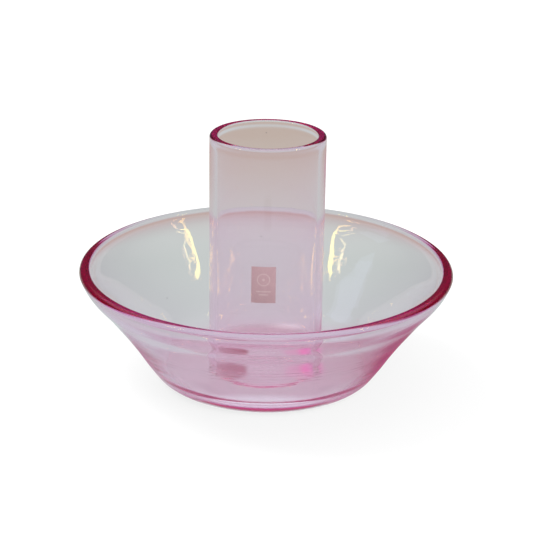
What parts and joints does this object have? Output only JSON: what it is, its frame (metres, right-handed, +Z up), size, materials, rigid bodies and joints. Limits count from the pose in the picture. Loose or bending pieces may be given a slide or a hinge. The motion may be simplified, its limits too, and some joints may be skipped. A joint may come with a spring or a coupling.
{
  "type": "glass candlestick",
  "caption": "Candlestick of a flared pale pink glass bowl with a tall open glass tube standing loose in its middle; the tube shields the candle and lifts out.",
  "frame": {"origin": "centre of the flat resting ring under the bowl, in the plane it rests on", "axes": "+Z up along the common axis of the bowl and the tube; the label is on the tube's -Y side"},
  "size_m": [0.1808, 0.1808, 0.1219],
  "materials": {
    "bowl_glass": "clear pale pink glass, fire-polished, faint turned ridges on the outside",
    "tube_glass": "clear pale pink glass, smooth, fire-polished ends",
    "label_film": "translucent matt film, dull pink with a paler printed mark"
  },
  "bodies": {
    "bowl_body": {"bowl": "bowl_glass"},
    "tube_body": {"candle_tube": "tube_glass", "label": "label_film"}
  },
  "joints": [
    {"name": "tube_lift", "type": "slide", "parent": "bowl_body", "child": "tube_body", "axis": [0, 0, 1], "range_m": [0, 0.08]}
  ]
}
